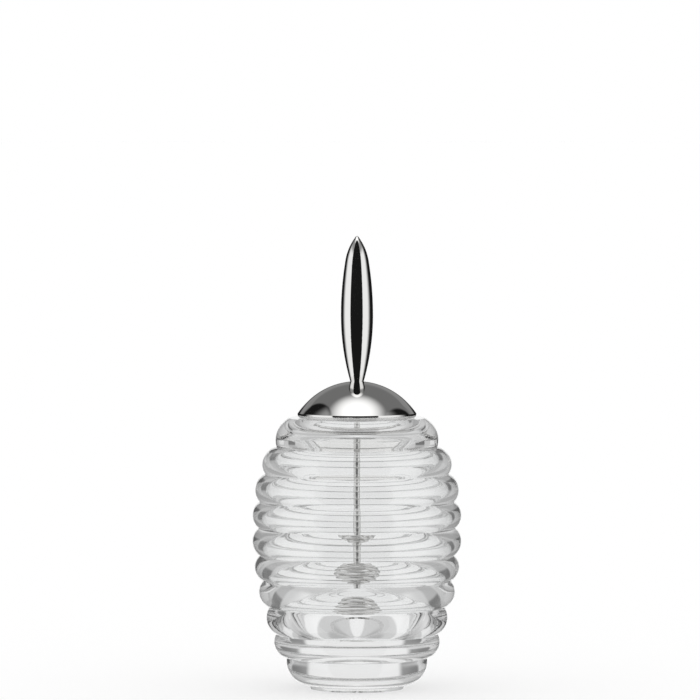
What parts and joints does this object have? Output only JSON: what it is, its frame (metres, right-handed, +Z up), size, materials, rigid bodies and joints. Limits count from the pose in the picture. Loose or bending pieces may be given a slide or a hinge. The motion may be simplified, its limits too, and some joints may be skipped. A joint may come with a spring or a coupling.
{
  "type": "honey pot with dipper lid",
  "caption": "Ribbed glass honey jar with a lift-off domed metal lid, spindle handle above and a coiled wire honey dipper on a rod below.",
  "frame": {"origin": "centre of the jar's foot, on the table, lid shut", "axes": "+Z up along the common axis of jar, lid, handle and dipper; the jar is round, so X and Y are free, and the wire's cut top end is to the +X side"},
  "size_m": [0.0922, 0.0922, 0.1996],
  "materials": {
    "clear_glass": "clear pressed glass, fire polished",
    "polished_steel": "mirror polished stainless steel",
    "plain_steel": "plain stainless steel"
  },
  "bodies": {
    "pot": {"jar": "clear_glass"},
    "lid": {"lid_dome": "polished_steel", "lid_pan": "polished_steel", "handle": "polished_steel", "dipper_rod": "polished_steel", "dipper_coil": "polished_steel", "lock_washer": "plain_steel", "lock_nut": "plain_steel"}
  },
  "joints": [
    {"name": "lid_lift", "type": "slide", "parent": "pot", "child": "lid", "axis": [0, 0, 1], "range_m": [0, 0.101]}
  ]
}
